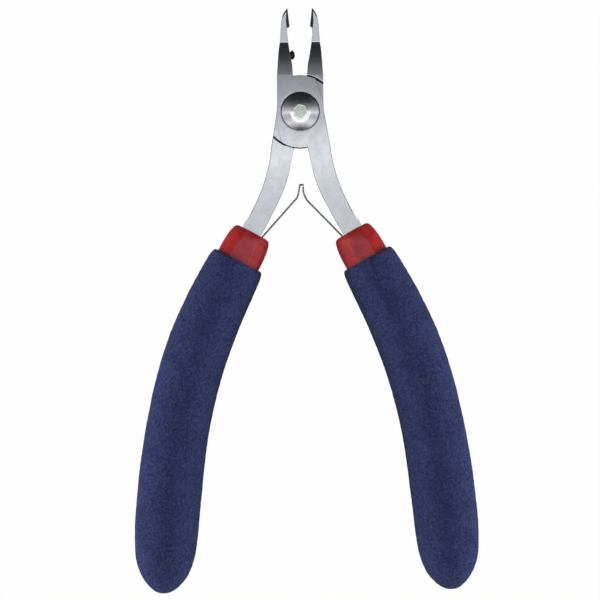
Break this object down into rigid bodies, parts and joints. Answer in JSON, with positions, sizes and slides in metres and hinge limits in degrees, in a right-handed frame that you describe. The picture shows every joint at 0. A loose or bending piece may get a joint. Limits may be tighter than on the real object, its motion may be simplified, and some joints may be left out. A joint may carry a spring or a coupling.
{
  "type": "flush cutter",
  "caption": "Slim lap-jointed flush cutter with forward-bent precision tips, leaf-spring return and long foam-covered handles.",
  "frame": {"origin": "on the pivot axis, in the rear face of the flush lock nut", "axes": "+Z along the pivot axis out of the domed screw head (the tool's front), +Y towards the jaw tips, +X to the right seen from the front"},
  "size_m": [0.0886, 0.15, 0.0153],
  "materials": {
    "tool_steel": "satin",
    "pivot_steel": "polished",
    "black_steel": "gloss",
    "spring_steel": "satin",
    "red_vinyl": "gloss",
    "blue_foam": "matte"
  },
  "bodies": {
    "front_half_body": {"front_half": "tool_steel", "stop_screw": "black_steel", "right_sleeve": "red_vinyl", "right_foam_grip": "blue_foam", "right_spring_rivet_1": "spring_steel", "right_spring_rivet_2": "spring_steel"},
    "rear_half_body": {"rear_half": "tool_steel", "pivot_screw": "pivot_steel", "pivot_washer": "pivot_steel", "pivot_lock_nut": "pivot_steel", "left_sleeve": "red_vinyl", "left_foam_grip": "blue_foam", "left_spring_rivet_1": "spring_steel", "left_spring_rivet_2": "spring_steel"},
    "left_leaf_body": {"left_leaf_spring": "spring_steel"},
    "right_leaf_body": {"right_leaf_spring": "spring_steel"}
  },
  "joints": [
    {"name": "pivot", "type": "hinge", "parent": "front_half_body", "child": "rear_half_body", "pos_m": [0, 0, 0.00315], "axis": [0, 0, 1], "range_deg": [0, 13.4], "stiffness_Nm_per_rad": 1.2, "springref_deg": -3.44},
    {"name": "left_leaf_flex", "type": "hinge", "parent": "rear_half_body", "child": "left_leaf_body", "pos_m": [-0.01091, -0.03269, 0.00315], "axis": [0, 0, 1], "range_deg": [0, 9], "deforming": ["left_leaf_spring"]},
    {"name": "right_leaf_flex", "type": "hinge", "parent": "front_half_body", "child": "right_leaf_body", "pos_m": [0.01091, -0.03269, 0.00315], "axis": [0, 0, 1], "range_deg": [-9, 0], "deforming": ["right_leaf_spring"]}
  ],
  "couplings": [
    {"joint": "left_leaf_flex", "follows": "pivot", "ratio": 0.645},
    {"joint": "right_leaf_flex", "follows": "pivot", "ratio": -0.645}
  ]
}
